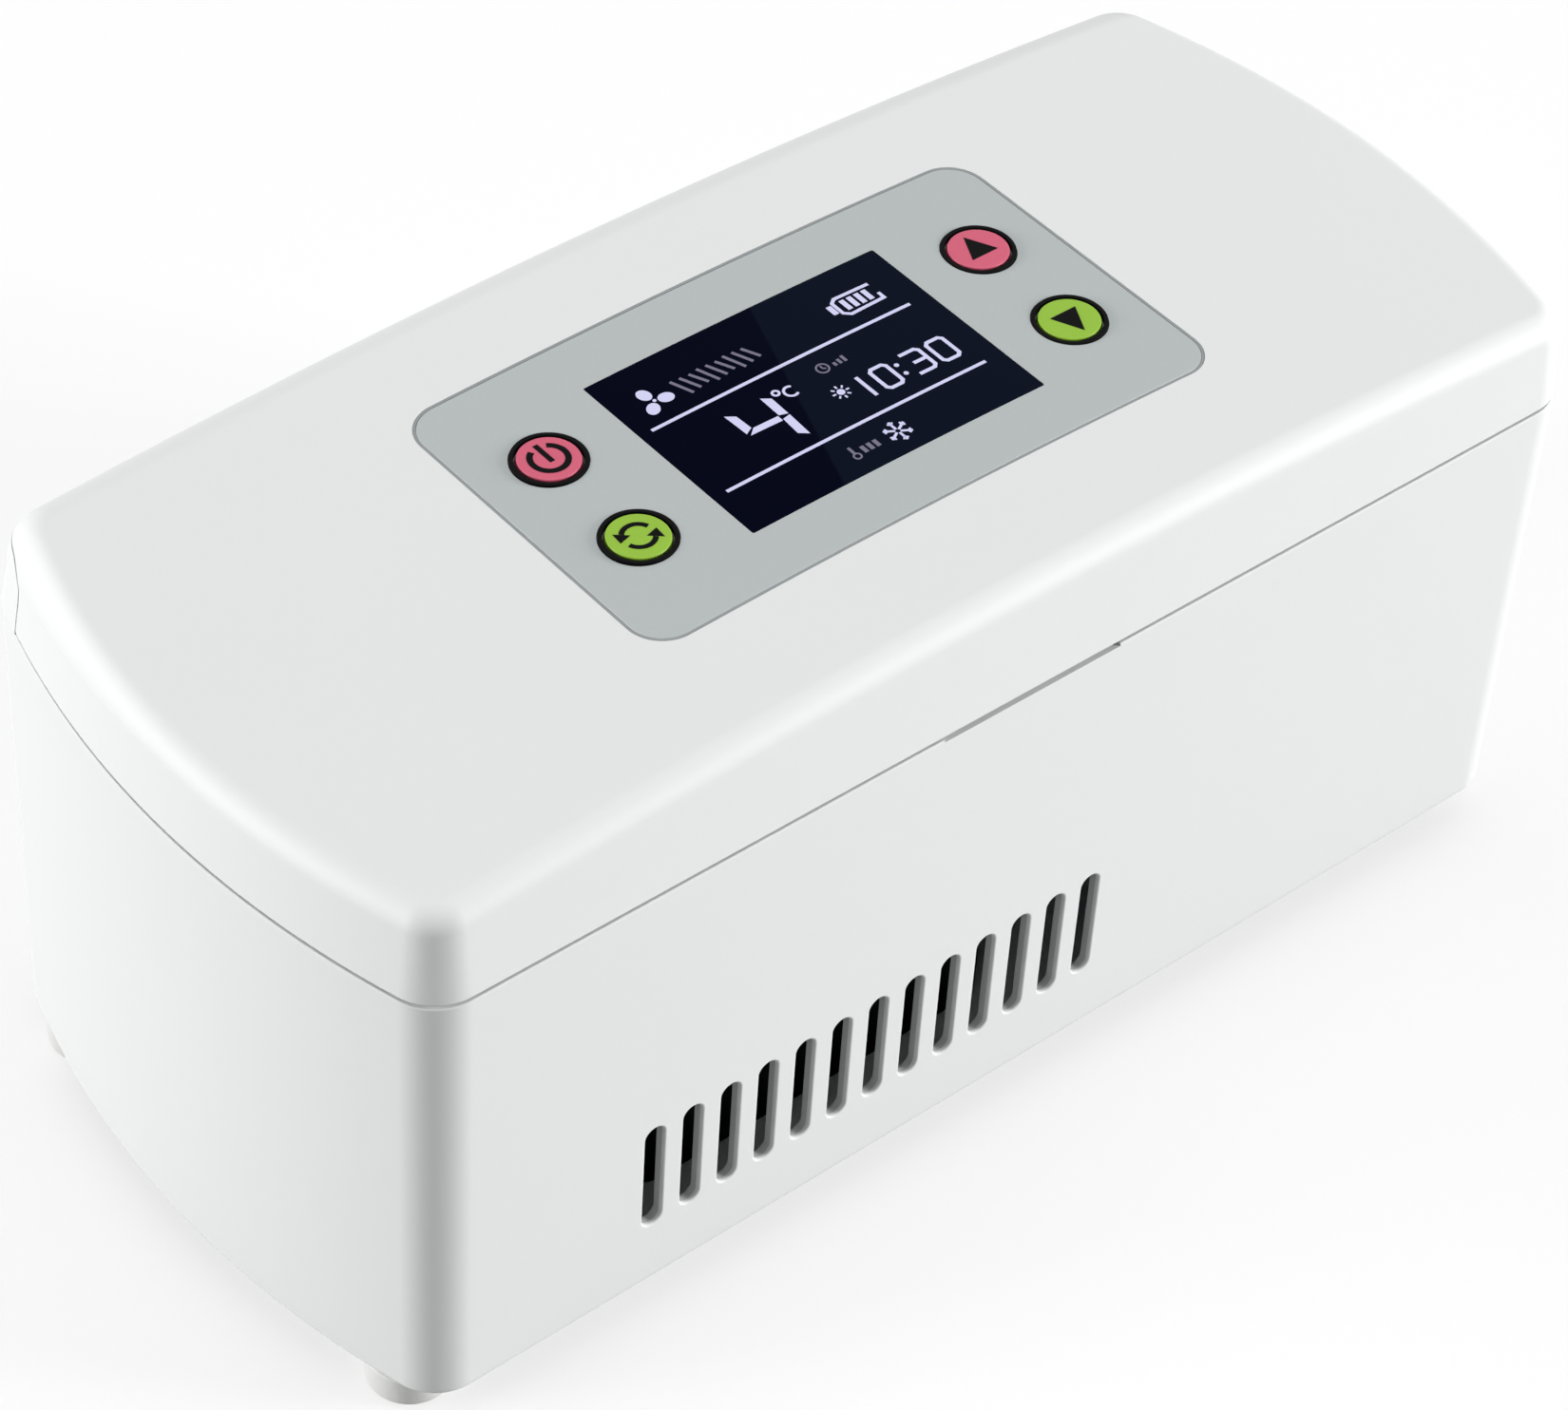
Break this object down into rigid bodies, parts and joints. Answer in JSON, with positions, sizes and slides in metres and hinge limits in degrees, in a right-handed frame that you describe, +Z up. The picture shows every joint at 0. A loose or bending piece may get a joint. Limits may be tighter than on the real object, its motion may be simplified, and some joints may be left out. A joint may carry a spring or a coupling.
{
  "type": "insulin cooling case",
  "caption": "Portable white cooling case with bowed ends and a hinged arched lid that carries a display and round keys; a fan-cooled thermoelectric stack chills an aluminium chamber.",
  "frame": {"origin": "on the table, under the middle of the case", "axes": "+X along the length to the right, -Y towards the front with the vents, +Z up"},
  "size_m": [0.2, 0.0914, 0.093],
  "materials": {
    "white_abs": "satin moulded",
    "liner_abs": "gloss moulded",
    "panel_film": "satin printed film",
    "display_lens": "polished",
    "red_key": "satin",
    "green_key": "satin",
    "black_abs": "matte moulded",
    "foot_rubber": "matte",
    "seal_silicone": "matte",
    "foam": "matte",
    "ceramic": "matte",
    "cell_wrap": "satin wrap",
    "circuit_board": "satin",
    "bare_aluminium": "satin anodised",
    "steel": "plated"
  },
  "bodies": {
    "base": {"base_shell": "white_abs", "bottom_cover": "white_abs", "inner_deck": "liner_abs", "cold_tray": "bare_aluminium", "tray_foam": "foam", "temp_sensor": "black_abs", "cold_block": "bare_aluminium", "peltier_module": "ceramic", "heat_sink": "bare_aluminium", "fan_frame": "black_abs", "battery_holder": "black_abs", "main_board": "circuit_board", "dc_socket": "black_abs", "battery_cell_1": "cell_wrap", "battery_cell_2": "cell_wrap", "foot_front_left": "foot_rubber", "foot_front_right": "foot_rubber", "foot_rear_right": "foot_rubber", "foot_rear_left": "foot_rubber", "cover_screw_front_left": "steel", "cover_screw_front_right": "steel", "cover_screw_rear_right": "steel", "cover_screw_rear_left": "steel", "deck_screw_front_left": "steel", "deck_screw_front_right": "steel", "deck_screw_rear_right": "steel", "deck_screw_rear_left": "steel", "hinge_pin_left": "steel", "hinge_pin_right": "steel", "base_magnet_left": "steel", "base_magnet_right": "steel"},
    "lid": {"lid_shell": "white_abs", "lid_liner": "liner_abs", "lid_gasket": "seal_silicone", "lid_foam": "foam", "panel_overlay": "panel_film", "lcd_window": "display_lens", "lcd_module": "black_abs", "display_board": "circuit_board", "lid_screw_front_left": "steel", "lid_screw_front_right": "steel", "lid_screw_rear_right": "steel", "lid_screw_rear_left": "steel", "lid_magnet_left": "steel", "lid_magnet_right": "steel", "power_button_ring": "black_abs", "auto_button_ring": "black_abs", "up_button_ring": "black_abs", "down_button_ring": "black_abs", "power_switch": "black_abs", "auto_switch": "black_abs", "up_switch": "black_abs", "down_switch": "black_abs"},
    "fan": {"fan_rotor": "black_abs"},
    "power_key": {"power_button": "red_key"},
    "auto_key": {"auto_button": "green_key"},
    "up_key": {"up_button": "red_key"},
    "down_key": {"down_button": "green_key"}
  },
  "joints": [
    {"name": "lid_hinge", "type": "hinge", "parent": "base", "child": "lid", "pos_m": [0, 0.04105, 0.0809], "axis": [-1, 0, 0], "range_deg": [0, 90]},
    {"name": "fan_spin", "type": "hinge", "parent": "base", "child": "fan", "pos_m": [-0.0229, -0.005, 0.0137], "axis": [0, 0, 1], "continuous": true},
    {"name": "power_press", "type": "slide", "parent": "lid", "child": "power_key", "axis": [0, 0, -1], "range_m": [0, 0.0005], "stiffness_N_per_m": 2000},
    {"name": "auto_press", "type": "slide", "parent": "lid", "child": "auto_key", "axis": [0, 0, -1], "range_m": [0, 0.0005], "stiffness_N_per_m": 2000},
    {"name": "up_press", "type": "slide", "parent": "lid", "child": "up_key", "axis": [0, 0, -1], "range_m": [0, 0.0005], "stiffness_N_per_m": 2000},
    {"name": "down_press", "type": "slide", "parent": "lid", "child": "down_key", "axis": [0, 0, -1], "range_m": [0, 0.0005], "stiffness_N_per_m": 2000}
  ]
}
